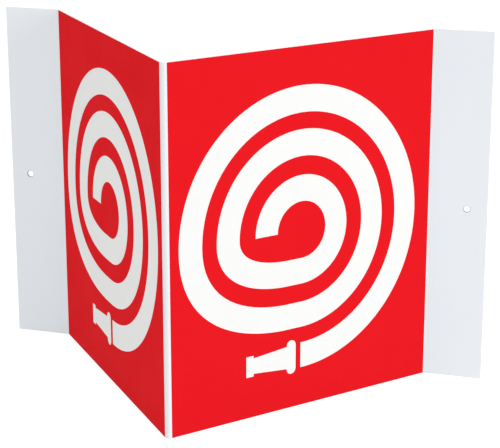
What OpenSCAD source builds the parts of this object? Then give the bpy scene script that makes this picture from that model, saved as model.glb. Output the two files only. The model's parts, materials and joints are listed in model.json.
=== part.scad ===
// Three-way fire hose sign: one plastic sheet folded into a V that stands out from a wall.
// The back of both flanges lies on the wall plane y = 0, the front edge of the V points to -Y,
// and the origin is halfway between the two screw holes. A picture of a coiled fire hose with
// its nozzle is printed on each panel, the same way round on both.

/* [Sheet] */
// Height of the sheet
sheet_h = 222.25; // [200:0.25:320]
// Thickness of the sheet
sheet_t = 1.5; // [0.8:0.1:3]
// Width of a panel, from the sharp front corner to the sharp corner at the flange
panel_w = 190.5; // [186:0.5:280]
// Angle between the two panels
panel_angle = 80; // [60:1:120]
// Radius inside every bend
bend_r = 1; // [0.5:0.1:2.5]

/* [Flanges] */
// Width of a flange, from the sharp corner to its outer edge
flange_w = 36.5; // [28:0.5:60]
// Diameter of the screw hole in each flange
hole_d = 4; // [3:0.1:6.5]
// Distance from a flange's outer edge to the centre of its hole
hole_edge = 12.7; // [8:0.1:18]

/* [Print] */
// Thickness of the printed fields
print_t = 0.1; // [0.05:0.05:0.3]
// Bare sheet between the front bend and the red
front_margin = 0.4; // [0.2:0.1:2]
// Bare sheet between a flange fold and the red
fold_margin = 0.1; // [0.1:0.1:2]
// Bare sheet between the red and the cut edges at the top and the bottom
cut_margin = 0.2; // [0.1:0.1:3]

/* [Picture of the hose] */
// Width of the hose
hose_w = 15.6; // [12:0.1:18]
// Radius of the first turn, to the middle of the hose
turn_1_r = 24.9; // [20:0.1:28]
// Radius of the second turn
turn_2_r = 51.6; // [48:0.1:55]
// Radius of the third turn
turn_3_r = 77; // [74:0.1:79]
// How much taller than wide the turns are
turn_stretch = 1.028; // [1:0.002:1.06]
// Straight run at the bottom of a turn, before the hose leads out to the next turn
step_run = 9.5; // [2:0.5:16]
// How far the way out goes on straight, as a share of its width
step_reach = 0.5; // [0.3:0.01:0.8]
// How steeply it comes up to the next turn, as a share of its height
step_rise = 0.74; // [0.4:0.01:0.9]
// How far each square end of the hose runs past its quarter turn
end_overrun = 0.2; // [0.1:0.1:3]
// Centre of the turns on the right panel, sideways from the panel's middle
right_picture_x = -1.1; // [-2:0.1:2]
// Centre of the turns on the right panel, up from the panel's middle
right_picture_z = 0.8; // [-3:0.1:3]
// Centre of the turns on the left panel, sideways from the panel's middle
left_picture_x = 0.3; // [-2:0.1:2]
// Centre of the turns on the left panel, up from the panel's middle
left_picture_z = 2.2; // [-3:0.1:3]

/* [Picture of the nozzle] */
// Red gap between the end of the hose and the collar
nozzle_gap = 3.5; // [2:0.1:6]
// Width of the round-ended collar
collar_w = 6.5; // [5:0.1:9]
// Height of the collar
collar_h = 21.5; // [18:0.1:26]
// Length of the tapered barrel
barrel_l = 23.8; // [15:0.1:30]
// Height of the barrel at the collar
barrel_back_h = 14.2; // [12:0.1:16]
// Height of the barrel at the tip
barrel_front_h = 9.8; // [8:0.1:12]
// Length of the tip
tip_l = 5.2; // [4:0.1:8]
// Height of the tip
tip_h = 13.1; // [12.5:0.1:16]

/* [Hidden] */

$fn = 64;
arc_step = 5;
curve_steps = 18;
cut_through = 1;

left = -1;
right = 1;

// Plan of the folded sheet
half_angle = panel_angle / 2;
fold_x = panel_w * sin(half_angle);
panel_depth = panel_w * cos(half_angle);
reach_x = fold_x + flange_w;
hole_x = reach_x - hole_edge;
outer_bend_r = bend_r + sheet_t;
front_bend_run = outer_bend_r * tan(90 - half_angle);
fold_bend_run = bend_r * tan((90 - half_angle) / 2);
front_bend_c = [0, outer_bend_r / sin(half_angle) - panel_depth - sheet_t];
right_fold_c = [fold_x + fold_bend_run, -sheet_t - bend_r];
left_fold_c = [-right_fold_c.x, right_fold_c.y];

// Extent of the red on a panel, across it from the panel's middle
red_front_x = panel_w / 2 - front_bend_run - front_margin;
red_fold_x = panel_w / 2 - fold_bend_run - fold_margin;
red_h = sheet_h - 2 * cut_margin;

turns = [turn_1_r, turn_2_r, turn_3_r];
nozzle_z = -turn_3_r * turn_stretch;

sheet_colour = "#e9edf1";
red_colour = "#ee1c24";
white_colour = "#ffffff";

// Points along a circular arc from angle a to angle b
function arc(c, r, a, b) =
    let (n = ceil(abs(b - a) / arc_step))
    [for (i = [0:n]) let (t = a + (b - a) * i / n) c + r * [cos(t), sin(t)]];

// Points of a cubic curve, without its two ends
function cubic(p, q, r, s) = [
    for (i = [1:curve_steps - 1])
        let (t = i / curve_steps, u = 1 - t)
        u * u * u * p + 3 * u * u * t * q + 3 * u * t * t * r + t * t * t * s
];

function reversed(points) = [for (i = [len(points) - 1:-1:0]) points[i]];

// One turn seen at a side of the hose: over the top from the left, down the right, to the bottom
function turn(r) = [for (p = arc([0, 0], r, 180, -90)) [p.x, p.y * turn_stretch]];

// The way from the bottom of one turn out to the left of the next
function step_out(r, next_r) =
    let (low = -r * turn_stretch, reach = step_run + (next_r - step_run) * step_reach)
    concat(
        [[-step_run, low]],
        cubic([-step_run, low], [-reach, low], [-next_r, low * step_rise], [-next_r, 0])
    );

// One side of the whole coil, set off from the middle of the hose
function coil_side(off) = concat(
    [[-turns[0] - off, -end_overrun]],
    turn(turns[0] + off),
    step_out(turns[0] + off, turns[1] + off),
    turn(turns[1] + off),
    step_out(turns[1] + off, turns[2] + off),
    turn(turns[2] + off),
    [[-end_overrun, -(turns[2] + off) * turn_stretch]]
);

module hose_outline() {
    polygon(concat(coil_side(-hose_w / 2), reversed(coil_side(hose_w / 2))));
}

// The nozzle from its collar to its tip, pointing left
module nozzle_outline() {
    collar_x = -end_overrun - nozzle_gap;
    barrel_x = collar_x - collar_w;
    tip_x = barrel_x - barrel_l;
    collar_r = collar_w / 2;
    cap_z = collar_h / 2 - collar_r;
    cap_x = collar_x - collar_r;
    upper = concat(
        [[tip_x - tip_l, tip_h / 2], [tip_x, tip_h / 2], [tip_x, barrel_front_h / 2]],
        [[barrel_x, barrel_back_h / 2]],
        arc([cap_x, cap_z], collar_r, 180, 0)
    );
    lower = [for (p = reversed(upper)) [p.x, -p.y]];
    translate([0, nozzle_z]) polygon(concat(upper, lower));
}

// Brings a flat shape, drawn as it is read, to the middle of a panel's front face
module on_panel(side) {
    translate([side * fold_x / 2, -sheet_t - panel_depth / 2, 0])
        rotate([90, 0, side * (90 - half_angle)])
            linear_extrude(print_t) children();
}

module at_picture(side) {
    centre = side == right ? [right_picture_x, right_picture_z] : [left_picture_x, left_picture_z];
    translate(centre) children();
}

module red_field(side) {
    low_x = side == right ? -red_front_x : -red_fold_x;
    high_x = side == right ? red_fold_x : red_front_x;
    color(red_colour) on_panel(side) difference() {
        translate([low_x, -red_h / 2]) square([high_x - low_x, red_h]);
        at_picture(side) {
            hose_outline();
            nozzle_outline();
        }
    }
}

module hose(side) {
    color(white_colour) on_panel(side) at_picture(side) hose_outline();
}

module nozzle(side) {
    color(white_colour) on_panel(side) at_picture(side) nozzle_outline();
}

module sheet_section() {
    front = concat(
        [[-reach_x, -sheet_t]],
        arc(left_fold_c, bend_r, 90, half_angle),
        arc(front_bend_c, outer_bend_r, half_angle - 180, -half_angle),
        arc(right_fold_c, bend_r, 180 - half_angle, 90),
        [[reach_x, -sheet_t]]
    );
    back = concat(
        [[reach_x, 0]],
        arc(right_fold_c, outer_bend_r, 90, 180 - half_angle),
        arc(front_bend_c, bend_r, -half_angle, half_angle - 180),
        arc(left_fold_c, outer_bend_r, half_angle, 90),
        [[-reach_x, 0]]
    );
    polygon(concat(front, back));
}

module folded_sheet() {
    color(sheet_colour) difference() {
        linear_extrude(sheet_h, center = true) sheet_section();
        for (side = [left, right])
            translate([side * hole_x, cut_through, 0])
                rotate([90, 0, 0]) cylinder(d = hole_d, h = sheet_t + 2 * cut_through);
    }
}

folded_sheet();
red_field(left);  // left_red_field
hose(left);  // left_hose
nozzle(left);  // left_nozzle
red_field(right);  // right_red_field
hose(right);  // right_hose
nozzle(right);  // right_nozzle
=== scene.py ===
# Three-way fire hose sign: one sheet of white rigid vinyl, folded into a V between two screw
# flanges, with a coiled hose and its nozzle screen printed on each panel.
# Blender works in metres here; sizes below are in millimetres and go through mm.
import json
import math

import bmesh
import bpy
from mathutils import Matrix, Vector


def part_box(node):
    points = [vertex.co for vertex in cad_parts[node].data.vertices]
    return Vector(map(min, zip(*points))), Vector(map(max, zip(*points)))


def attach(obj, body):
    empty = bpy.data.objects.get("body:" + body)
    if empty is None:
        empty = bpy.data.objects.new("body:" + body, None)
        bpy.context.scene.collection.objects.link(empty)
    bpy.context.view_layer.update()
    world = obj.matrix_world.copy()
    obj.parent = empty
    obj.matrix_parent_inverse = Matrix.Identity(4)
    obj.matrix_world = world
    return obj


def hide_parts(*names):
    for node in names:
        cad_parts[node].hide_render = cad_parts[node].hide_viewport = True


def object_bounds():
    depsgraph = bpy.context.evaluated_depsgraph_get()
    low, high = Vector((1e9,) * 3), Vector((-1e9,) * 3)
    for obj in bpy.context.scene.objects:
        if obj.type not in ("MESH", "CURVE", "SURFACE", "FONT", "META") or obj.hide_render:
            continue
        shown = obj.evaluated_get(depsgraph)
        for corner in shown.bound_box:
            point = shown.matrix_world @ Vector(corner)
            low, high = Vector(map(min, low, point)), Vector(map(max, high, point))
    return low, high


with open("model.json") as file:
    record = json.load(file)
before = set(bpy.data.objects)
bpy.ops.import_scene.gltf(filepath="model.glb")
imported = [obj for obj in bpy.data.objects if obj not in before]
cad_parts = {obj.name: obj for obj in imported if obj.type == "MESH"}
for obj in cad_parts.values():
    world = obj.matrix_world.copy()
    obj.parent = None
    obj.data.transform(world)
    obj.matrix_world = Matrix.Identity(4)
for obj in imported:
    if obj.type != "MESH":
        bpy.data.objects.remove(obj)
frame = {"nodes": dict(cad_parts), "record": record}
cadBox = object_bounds()
mm = 0.001
sheetLow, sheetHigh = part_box("folded_sheet")
print("frame loaded:", len(frame["nodes"]), "nodes")


def linear(hexColour):
    channels = [int(hexColour[i:i + 2], 16) / 255 for i in (1, 3, 5)]
    return [c / 12.92 if c <= 0.04045 else ((c + 0.055) / 1.055) ** 2.4 for c in channels] + [1]


def addNode(tree, kind, inputs, **settings):
    node = tree.nodes.new(kind)
    for name, value in settings.items():
        setattr(node, name, value)
    for name, value in inputs.items():
        if isinstance(value, bpy.types.NodeSocket):
            tree.links.new(value, node.inputs[name])
        else:
            node.inputs[name].default_value = value
    return node


def perMetre(size):
    # how many patterns of this size in millimetres fit in a metre, which is a texture's scale
    return 1 / (size * mm)


def startMaterial(name):
    material = bpy.data.materials.new(name)
    material.use_nodes = True
    material.node_tree.nodes.clear()
    return material, material.node_tree


# Finishes
noiseSpan = {"From Min": 0.3, "From Max": 0.7}  # nearly all of a noise texture lies in here

# Rigid white PVC, calendered between polished rolls: an even, slightly cool white with a soft
# sheen. The sheet is never quite flat, so what it reflects swims a little.
vinyl = {
    "colour": "#ecf0f4",
    "pale": "#f0f3f7",  # where the pigment is a little denser
    "roughness": 0.3,
    "roughnessSpread": 0.02,
    "ior": 1.53,
    "specular": 0.4,
    "patch": 60,  # mm across a patch of denser pigment
    "bow": 75,  # mm between the waves of the flat sheet
    "bowDepth": 0.12,
    "peel": 1.4,  # mm across a dimple of the rolled skin
    "peelDepth": 0.002,
}

# The same vinyl where it was cut through: matt, with a fine grain in the cut face. The guillotine leaves
# a clean white edge.
# The wall and lips of a punched hole are coloured grey as painted shade.
cutVinyl = {
    "guillotined": ("#f4f6f8", "#e6e9ed"),  # the cut face and its grain
    # grey painted shade for the walls and lips of the screw holes
    "holeShade": ("#bfc2c6", "#abaeb2"),
    "roughness": 0.55,
    "ior": 1.53,
    "specular": 0.3,
    "grain": 0.7,  # mm across a grain, drawn coarser than the real 0.1 so that it shows
    "grainDepth": 0.01,
}

# Vinyl ink pushed through a polyester screen and air dried: a flat, dense colour that hardly
# shines, with faint marks of the screen's threads and slow changes where the ink lies thinner.
redInk = {
    "colour": "#e81a22",
    "thin": "#e41820",
    "roughness": 0.65,
    "specular": 0.015,
}
whiteInk = {
    "colour": "#f4f4f2",
    "thin": "#f0f0ee",
    "roughness": 0.5,
    "specular": 0.1,
}
inkSkin = {
    "ior": 1.49,
    "roughnessSpread": 0.06,
    "cloud": 28,  # mm across a change in the ink's thickness
    "thread": 0.8,  # mm between thread marks, drawn coarser than the real 0.25 so that they show
    "threadSpread": 0.4,  # how uneven they are, where 0 is a perfect grid
    "threadDepth": 0.003,
}


def makeVinyl():
    material, tree = startMaterial("rigidVinylCalendered")
    place = addNode(tree, "ShaderNodeTexCoord", {}).outputs["Object"]
    patches = addNode(tree, "ShaderNodeTexNoise", {
        "Vector": place, "Scale": perMetre(vinyl["patch"]), "Detail": 3.0, "Roughness": 0.5})
    colour = addNode(tree, "ShaderNodeMix", {
        "Factor": patches.outputs["Fac"], 6: linear(vinyl["colour"]), 7: linear(vinyl["pale"])},
        data_type="RGBA")
    rubs = addNode(tree, "ShaderNodeMapRange", {
        "Value": patches.outputs["Fac"], **noiseSpan,
        "To Min": vinyl["roughness"] - vinyl["roughnessSpread"],
        "To Max": vinyl["roughness"] + vinyl["roughnessSpread"]})
    waves = addNode(tree, "ShaderNodeTexNoise", {
        "Vector": place, "Scale": perMetre(vinyl["bow"]), "Detail": 0.0})
    bow = addNode(tree, "ShaderNodeBump", {
        "Height": waves.outputs["Fac"], "Distance": vinyl["bowDepth"] * mm})
    dimples = addNode(tree, "ShaderNodeTexNoise", {
        "Vector": place, "Scale": perMetre(vinyl["peel"]), "Detail": 1.0})
    skin = addNode(tree, "ShaderNodeBump", {
        "Height": dimples.outputs["Fac"], "Distance": vinyl["peelDepth"] * mm,
        "Normal": bow.outputs["Normal"]})
    shader = addNode(tree, "ShaderNodeBsdfPrincipled", {
        "Base Color": colour.outputs[2], "Roughness": rubs.outputs["Result"],
        "IOR": vinyl["ior"], "Specular IOR Level": vinyl["specular"],
        "Normal": skin.outputs["Normal"]})
    addNode(tree, "ShaderNodeOutputMaterial", {"Surface": shader.outputs["BSDF"]})
    return material


def makeCutVinyl(tool):
    material, tree = startMaterial("rigidVinyl" + tool.capitalize())
    place = addNode(tree, "ShaderNodeTexCoord", {}).outputs["Object"]
    grain = addNode(tree, "ShaderNodeTexNoise", {
        "Vector": place, "Scale": perMetre(cutVinyl["grain"]), "Detail": 2.0})
    face, speck = cutVinyl[tool]
    colour = addNode(tree, "ShaderNodeMix", {
        "Factor": grain.outputs["Fac"], 6: linear(face), 7: linear(speck)}, data_type="RGBA")
    skin = addNode(tree, "ShaderNodeBump", {
        "Height": grain.outputs["Fac"], "Distance": cutVinyl["grainDepth"] * mm})
    shader = addNode(tree, "ShaderNodeBsdfPrincipled", {
        "Base Color": colour.outputs[2], "Roughness": cutVinyl["roughness"],
        "IOR": cutVinyl["ior"], "Specular IOR Level": cutVinyl["specular"],
        "Normal": skin.outputs["Normal"]})
    addNode(tree, "ShaderNodeOutputMaterial", {"Surface": shader.outputs["BSDF"]})
    return material


def makeInk(name, ink):
    material, tree = startMaterial(name)
    place = addNode(tree, "ShaderNodeTexCoord", {}).outputs["Object"]
    clouds = addNode(tree, "ShaderNodeTexNoise", {
        "Vector": place, "Scale": perMetre(inkSkin["cloud"]), "Detail": 4.0, "Roughness": 0.6})
    colour = addNode(tree, "ShaderNodeMix", {
        "Factor": clouds.outputs["Fac"], 6: linear(ink["colour"]), 7: linear(ink["thin"])},
        data_type="RGBA")
    rubs = addNode(tree, "ShaderNodeMapRange", {
        "Value": clouds.outputs["Fac"], **noiseSpan,
        "To Min": ink["roughness"] - inkSkin["roughnessSpread"],
        "To Max": ink["roughness"] + inkSkin["roughnessSpread"]})
    threads = addNode(tree, "ShaderNodeTexVoronoi", {
        "Vector": place, "Scale": perMetre(inkSkin["thread"]), "Randomness": inkSkin["threadSpread"]})
    skin = addNode(tree, "ShaderNodeBump", {
        "Height": threads.outputs["Distance"], "Distance": inkSkin["threadDepth"] * mm})
    shader = addNode(tree, "ShaderNodeBsdfPrincipled", {
        "Base Color": colour.outputs[2], "Roughness": rubs.outputs["Result"],
        "IOR": inkSkin["ior"], "Specular IOR Level": ink["specular"],
        "Normal": skin.outputs["Normal"]})
    addNode(tree, "ShaderNodeOutputMaterial", {"Surface": shader.outputs["BSDF"]})
    return material


vinylSkin = makeVinyl()
vinylCut = makeCutVinyl("guillotined")
# the screw holes' walls and lips get grey painted shade
vinylHoleShade = makeCutVinyl("holeShade")
redPrint = makeInk("screenInkRed", redInk)
whitePrint = makeInk("screenInkWhite", whiteInk)
print("finishes made")

# Folded sheet
sheet = {
    "thickness": 1.5,
    "innerBend": 1.0,
    "panelAngle": 80,  # degrees between the two panels
    "flangeWidth": 36.5,
    "bendStep": 2.5,  # degrees between the lines that round a bend
    "edgeRound": 0.15,  # how far the cut edges are eased
    "edgeSteps": 2,  # faces across an eased edge
    "easedAbove": 40,  # degrees an edge turns by before it is eased, so the bends' lines are not
    "holeSides": 64,
    "holeLip": 0.25,  # how far the punch drew the vinyl in around a hole
}
edgeReach = 1.1 * sheet["edgeRound"]  # the faces of an eased edge lie within this of it
halfAngle = sheet["panelAngle"] / 2
outerBend = sheet["innerBend"] + sheet["thickness"]
reachX = sheetHigh.x / mm
foldX = reachX - sheet["flangeWidth"]
panelWidth = foldX / math.sin(math.radians(halfAngle))
panelDepth = panelWidth * math.cos(math.radians(halfAngle))
screwHoles = next(m for m in frame["record"]["mounts"] if m["name"] == "wall_holes")["dims"]
holeX = screwHoles["spacing_x_mm"] / 2
holeRadius = screwHoles["hole_r_mm"]


def arc(centre, radius, start, end, step):
    count = math.ceil(abs(end - start) / step)
    angles = [math.radians(start + (end - start) * i / count) for i in range(count + 1)]
    return [(centre[0] + radius * math.cos(a), centre[1] + radius * math.sin(a)) for a in angles]


def sheetLine(y, foldBend, frontBend):
    # one face of the folded sheet in plan, from the left outer edge round the three bends
    t, inner, step = sheet["thickness"], sheet["innerBend"], sheet["bendStep"]
    frontCentre = (0, outerBend / math.sin(math.radians(halfAngle)) - panelDepth - t)
    foldCentre = (foldX + inner * math.tan(math.radians((90 - halfAngle) / 2)), -t - inner)
    leftCentre = (-foldCentre[0], foldCentre[1])
    return ([(-reachX, y)] + arc(leftCentre, foldBend, 90, halfAngle, step)
            + arc(frontCentre, frontBend, halfAngle - 180, -halfAngle, step)
            + arc(foldCentre, foldBend, 180 - halfAngle, 90, step) + [(reachX, y)])


def joinRings(bm, rings):
    # faces from each ring of points to the next, all the way round
    for near, far in zip(rings, rings[1:]):
        for i in range(len(near)):
            bm.faces.new((near[i - 1], near[i], far[i], far[i - 1])).smooth = True


def newObject(name, bm, *materials):
    mesh = bpy.data.meshes.new(name)
    bm.to_mesh(mesh)
    bm.free()
    piece = bpy.data.objects.new(name, mesh)
    bpy.context.scene.collection.objects.link(piece)
    for material in materials:
        mesh.materials.append(material)
    return piece


def settle(piece):
    # puts what the modifiers made into the mesh itself
    graph = bpy.context.evaluated_depsgraph_get()
    mesh = bpy.data.meshes.new_from_object(piece.evaluated_get(graph))
    piece.modifiers.clear()
    piece.data = mesh


def makeSheet():
    front = sheetLine(-sheet["thickness"], sheet["innerBend"], outerBend)
    back = sheetLine(0, outerBend, sheet["innerBend"])
    bm = bmesh.new()
    rows = [[bm.verts.new((x * mm, y * mm, z)) for x, y in line]
            for line, z in ((front, sheetLow.z), (front, sheetHigh.z),
                            (back, sheetHigh.z), (back, sheetLow.z))]
    for i in range(len(front) - 1):
        for a, b in zip(rows, rows[1:] + rows[:1]):
            bm.faces.new((a[i], a[i + 1], b[i + 1], b[i]))
    for i in (0, -1):
        bm.faces.new([row[i] for row in rows])
    bmesh.ops.recalc_face_normals(bm, faces=bm.faces)
    finishes = [vinylSkin, vinylCut, vinylHoleShade]
    piece = newObject("foldedSheet", bm, *finishes)
    punchHoles(piece)
    bevel = piece.modifiers.new("easedEdges", "BEVEL")
    bevel.width = sheet["edgeRound"] * mm
    bevel.segments = sheet["edgeSteps"]
    bevel.limit_method = "ANGLE"
    bevel.angle_limit = math.radians(sheet["easedAbove"])
    settle(piece)
    for face in piece.data.polygons:
        corners = [piece.data.vertices[i].co / mm for i in face.vertices]
        face.material_index = finishes.index(finishAt(corners))
        face.use_smooth = True
    piece.modifiers.new("flatPanels", "WEIGHTED_NORMAL")
    settle(piece)
    return piece


def punchHoles(piece):
    # each punch widens by the lip towards both faces of the sheet, and on past them at 45 degrees
    t, lip = sheet["thickness"], sheet["holeLip"]
    past = t
    wide = holeRadius + lip + past
    profile = [(-t - past, wide), (lip - t, holeRadius), (-lip, holeRadius), (past, wide)]
    angles = [math.tau * i / sheet["holeSides"] for i in range(sheet["holeSides"])]
    bm = bmesh.new()
    for x in (-holeX, holeX):
        rings = [[bm.verts.new(((x + r * math.cos(a)) * mm, y * mm, r * math.sin(a) * mm))
                  for a in angles] for y, r in profile]
        joinRings(bm, rings)
        bm.faces.new(rings[0])
        bm.faces.new(rings[-1])
    bmesh.ops.recalc_face_normals(bm, faces=bm.faces)
    punch = newObject("punch", bm)
    cut = piece.modifiers.new("screwHoles", "BOOLEAN")
    cut.operation = "DIFFERENCE"
    cut.solver = "EXACT"
    cut.object = punch
    settle(piece)
    bpy.data.objects.remove(punch)


def finishAt(corners):
    # painted grey shade in a screw hole and on its lips, guillotined along the outer edges, or else
    # rolled
    holeReach = holeRadius + sheet["holeLip"] + edgeReach
    if all(math.hypot(abs(c.x) - holeX, c.z) < holeReach for c in corners):
        return vinylHoleShade
    if (all(abs(c.x) > reachX - edgeReach for c in corners)
            or all(abs(c.z) > sheetHigh.z / mm - edgeReach for c in corners)):
        return vinylCut
    return vinylSkin


foldedSheet = makeSheet()
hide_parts("folded_sheet")
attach(foldedSheet, "root")
print("folded sheet made:", len(foldedSheet.data.polygons), "faces")

# Print on the panels, in millimetres from the middle of a panel, as it is read
film = {
    "thickness": 0.1,  # several times that of real ink, as in the solids
    "edgeRound": 0.03,  # the ink's edge draws in a little as it dries
    "edgeShoulder": 0.3,  # how far over the rounded edge is halfway, as a share of it
    "frontMargin": 0.4,  # bare vinyl between the front bend and the red
    "foldMargin": 0.1,
    "cutMargin": 0.2,
    "arcStep": 1.5,  # degrees between the points of a round stretch
    "curveSteps": 48,
    "cornerLimit": 0.3,  # keeps a sharp corner from running off as the outline draws in
}
hose = {
    "width": 15.6,
    "turns": (24.9, 51.6, 77.0),
    "stretch": 1.028,  # how much taller than wide the turns are
    "stepRun": 9.5,  # straight run at the bottom of a turn, before the way out to the next one
    "stepReach": 0.5,  # how far the way out goes on straight, as a share of its width
    "stepRise": 0.74,  # how steeply it comes up, as a share of its height
    "overrun": 0.2,  # how far each square end runs past its quarter turn
}
nozzle = {
    "gap": 3.5,  # red between the end of the hose and the collar
    "collarWidth": 6.5,
    "collarHeight": 21.5,
    "collarStep": 6,  # degrees between the points of its round ends
    "barrelLength": 23.8,
    "barrelBack": 14.2,
    "barrelFront": 9.8,
    "tipLength": 5.2,
    "tipHeight": 13.1,
}
pictureCentre = {"left": (0.3, 2.2), "right": (-1.1, 0.8)}  # sideways and up from a panel's middle


def cubic(p, q, r, s):
    # a cubic curve without its two ends
    points = []
    for i in range(1, film["curveSteps"]):
        t = i / film["curveSteps"]
        weights = ((1 - t) ** 3, 3 * (1 - t) ** 2 * t, 3 * (1 - t) * t ** 2, t ** 3)
        points.append(tuple(sum(w * c[k] for w, c in zip(weights, (p, q, r, s))) for k in (0, 1)))
    return points


def coilSide(offset):
    # one side of the whole coil: three turns, each led out at the bottom to the next one
    radii = [r + offset for r in hose["turns"]]
    run, stretch = hose["stepRun"], hose["stretch"]
    side = [(-radii[0], -hose["overrun"])]
    for radius, wider in zip(radii, radii[1:] + [None]):
        side += [(x, y * stretch) for x, y in arc((0, 0), radius, 180, -90, film["arcStep"])]
        if wider:
            low = -radius * stretch
            reach = run + (wider - run) * hose["stepReach"]
            side += [(-run, low)] + cubic(
                (-run, low), (-reach, low), (-wider, low * hose["stepRise"]), (-wider, 0))
    return side + [(-hose["overrun"], -radii[-1] * stretch)]


def hoseOutline():
    return coilSide(-hose["width"] / 2) + coilSide(hose["width"] / 2)[::-1]


def nozzleOutline():
    collarX = -hose["overrun"] - nozzle["gap"]
    barrelX = collarX - nozzle["collarWidth"]
    tipX = barrelX - nozzle["barrelLength"]
    capRadius = nozzle["collarWidth"] / 2
    cap = (collarX - capRadius, nozzle["collarHeight"] / 2 - capRadius)
    upper = [(tipX - nozzle["tipLength"], nozzle["tipHeight"] / 2), (tipX, nozzle["tipHeight"] / 2),
             (tipX, nozzle["barrelFront"] / 2), (barrelX, nozzle["barrelBack"] / 2)]
    upper += arc(cap, capRadius, 180, 0, nozzle["collarStep"])
    middle = -hose["turns"][-1] * hose["stretch"]
    return [(x, middle + y) for x, y in upper] + [(x, middle - y) for x, y in upper[::-1]]


def redOutline(side):
    frontEdge = panelWidth / 2 - outerBend * math.tan(math.radians(90 - halfAngle)) - film["frontMargin"]
    foldEdge = (panelWidth / 2 - sheet["innerBend"] * math.tan(math.radians((90 - halfAngle) / 2))
                - film["foldMargin"])
    low, high = (-frontEdge, foldEdge) if side == "right" else (-foldEdge, frontEdge)
    top = sheetHigh.z / mm - film["cutMargin"]
    return [(low, -top), (high, -top), (high, top), (low, top)]


def shifted(outline, centre):
    return [(x + centre[0], y + centre[1]) for x, y in outline]


def turned(outline, inward):
    # an outer line runs anticlockwise and a hole clockwise, so that the ink is always on the left
    area = sum(a[0] * b[1] - b[0] * a[1] for a, b in zip(outline, outline[1:] + outline[:1]))
    return outline[::-1] if (area > 0) == inward else outline


def drawnIn(outline, amount):
    # the outline moved to its left, with true corners
    line = [Vector(p) for p in outline]
    moved = []
    for before, here, after in zip(line[-1:] + line[:-1], line, line[1:] + line[:1]):
        a, b = (here - before).normalized(), (after - here).normalized()
        left, corner = Vector((-a.y, a.x)), Vector((-a.y - b.y, a.x + b.x)).normalized()
        moved.append(here + corner * (amount / max(corner.dot(left), film["cornerLimit"])))
    return moved


def makeFilm(name, side, outlines, material):
    # the first outline is the film's own edge and the others are left out of it
    loops = [turned(line, index > 0) for index, line in enumerate(outlines)]
    t, soft = film["thickness"], film["edgeRound"]
    shoulder = film["edgeShoulder"] * soft
    profile = [(0, 0), (0, t - soft), (shoulder, t - shoulder), (soft, t)]
    bm = bmesh.new()
    rims = {"back": [], "front": []}
    for loop in loops:
        rings = [[bm.verts.new((x * mm, y * mm, height * mm)) for x, y in drawnIn(loop, inset)]
                 for inset, height in profile]
        joinRings(bm, rings)
        for rim, ring in (("back", rings[0]), ("front", rings[-1])):
            rims[rim] += [bm.edges.get((ring[i - 1], ring[i])) for i in range(len(ring))]
    for edges in rims.values():
        bmesh.ops.triangle_fill(bm, edges=edges, use_beauty=True)
    bmesh.ops.recalc_face_normals(bm, faces=bm.faces)
    direction = 1 if side == "right" else -1
    bm.transform(
        Matrix.Translation((direction * foldX / 2 * mm, (-sheet["thickness"] - panelDepth / 2) * mm, 0))
        @ Matrix.Rotation(math.radians(direction * (90 - halfAngle)), 4, "Z")
        @ Matrix.Rotation(math.pi / 2, 4, "X"))
    return newObject(name, bm, material)


for side, centre in pictureCentre.items():
    hoseLine = shifted(hoseOutline(), centre)
    nozzleLine = shifted(nozzleOutline(), centre)
    for part, outlines, ink, slot in (
            ("red_field", [redOutline(side), hoseLine, nozzleLine], redPrint, "red_print"),
            ("hose", [hoseLine], whitePrint, "white_print"),
            ("nozzle", [nozzleLine], whitePrint, "white_print")):
        piece = makeFilm(side + part.title().replace("_", ""), side, outlines, ink)
        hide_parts(side + "_" + part)
        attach(piece, "root")
        piece.visible_diffuse = ink is not redPrint  # the red throws no pink on the flanges
print("print made on both panels")

# Studio: a pale paper floor, soft lamps and the camera
studio = {
    "floorSize": 40000,
    "floorColour": "#f4f4f4",
    "floorGlow": 0.28,  # the share of the floor's white that no shadow takes away
    "farGlow": 0.42,  # the same far off, where the lamps no longer reach
    "nearReach": 900,  # mm from the sign at which the glow starts to grow
    "farReach": 3500,
    "backdropColour": "#ffffff",
    "worldColour": "#ffffff",
    "worldStrength": 0.67,
}
lamps = {
    "right": {"azimuth": 75, "elevation": 20, "distance": 3200, "size": 1700, "watts": 29},
    "top": {"azimuth": 20, "elevation": 80, "distance": 3200, "size": 1700, "watts": 33},
}
lens = {
    "azimuth": 16.722,  # degrees round from straight in front, to the right
    "elevation": 16.758,
    "distance": 1003.18,
    "target": (27.004, -70.0, -0.205),
    "pixels": 1672.07,  # focal length in pixels of the frame
    "frameWidth": 500,
    "sensor": 36,
}


def away(azimuth, elevation):
    a, e = math.radians(azimuth), math.radians(elevation)
    return Vector((math.sin(a) * math.cos(e), -math.cos(a) * math.cos(e), math.sin(e)))


def seenWhite(tree, lit, plain):
    # camera, glossy and transmission rays meet the second shader, and light bounces off the first
    path = addNode(tree, "ShaderNodeLightPath", {})
    mirror = addNode(tree, "ShaderNodeMath", {
        0: path.outputs["Is Glossy Ray"], 1: path.outputs["Is Transmission Ray"]}, operation="MAXIMUM")
    seen = addNode(tree, "ShaderNodeMath", {
        0: path.outputs["Is Camera Ray"], 1: mirror.outputs[0]}, operation="MAXIMUM")
    return addNode(tree, "ShaderNodeMixShader", {0: seen.outputs[0], 1: lit, 2: plain}).outputs[0]


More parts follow.
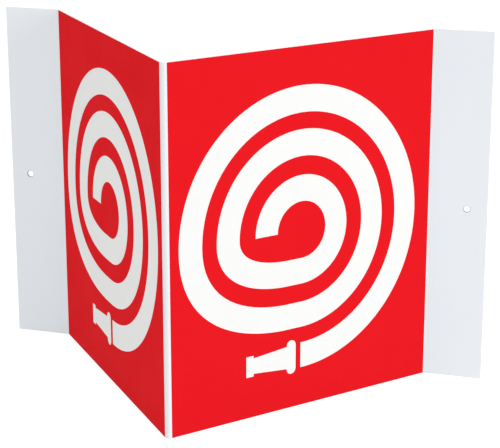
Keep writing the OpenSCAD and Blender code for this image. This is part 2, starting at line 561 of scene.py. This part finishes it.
def makeFloor():
    material, tree = startMaterial("mattPaper")
    paper = addNode(tree, "ShaderNodeBsdfDiffuse", {"Color": linear(studio["floorColour"])})
    place = addNode(tree, "ShaderNodeTexCoord", {}).outputs["Object"]
    reach = addNode(tree, "ShaderNodeVectorMath", {0: place}, operation="LENGTH")
    strength = addNode(tree, "ShaderNodeMapRange", {
        "Value": reach.outputs["Value"], "From Min": studio["nearReach"] * mm,
        "From Max": studio["farReach"] * mm, "To Min": studio["floorGlow"],
        "To Max": studio["farGlow"]})
    glow = addNode(tree, "ShaderNodeEmission", {
        "Color": linear(studio["backdropColour"]), "Strength": strength.outputs["Result"]})
    shown = addNode(tree, "ShaderNodeAddShader", {0: glow.outputs[0], 1: paper.outputs[0]})
    addNode(tree, "ShaderNodeOutputMaterial", {
        "Surface": seenWhite(tree, paper.outputs[0], shown.outputs[0])})
    bm = bmesh.new()
    bmesh.ops.create_grid(bm, x_segments=1, y_segments=1, size=studio["floorSize"] * mm / 2)
    floor = newObject("floor", bm, material)
    floor.location.z = cadBox[0].z


def makeWorld():
    world = bpy.data.worlds.new("softbox")
    bpy.context.scene.world = world
    world.use_nodes = True
    tree = world.node_tree
    tree.nodes.clear()
    lit = addNode(tree, "ShaderNodeBackground", {
        "Color": linear(studio["worldColour"]), "Strength": studio["worldStrength"]})
    plain = addNode(tree, "ShaderNodeBackground", {
        "Color": linear(studio["backdropColour"]), "Strength": 1.0})
    addNode(tree, "ShaderNodeOutputWorld", {
        "Surface": seenWhite(tree, lit.outputs[0], plain.outputs[0])})


def addLamp(name, lamp):
    light = bpy.data.lights.new(name, "AREA")
    light.shape = "DISK"
    light.size = lamp["size"] * mm
    light.energy = lamp["watts"]
    holder = bpy.data.objects.new(name, light)
    bpy.context.scene.collection.objects.link(holder)
    direction = away(lamp["azimuth"], lamp["elevation"])
    holder.location = (cadBox[0] + cadBox[1]) / 2 + direction * lamp["distance"] * mm
    holder.rotation_euler = direction.to_track_quat("Z", "Y").to_euler()


def addCamera():
    data = bpy.data.cameras.new("camera")
    data.sensor_width = lens["sensor"]
    data.lens = lens["pixels"] / lens["frameWidth"] * lens["sensor"]
    camera = bpy.data.objects.new("camera", data)
    bpy.context.scene.collection.objects.link(camera)
    direction = away(lens["azimuth"], lens["elevation"])
    camera.location = (Vector(lens["target"]) + direction * lens["distance"]) * mm
    camera.rotation_euler = direction.to_track_quat("Z", "Y").to_euler()
    bpy.context.scene.camera = camera


makeFloor()
makeWorld()
for name, lamp in lamps.items():
    addLamp(name, lamp)
addCamera()
bpy.context.scene.view_settings.view_transform = "Standard"
print("studio set")
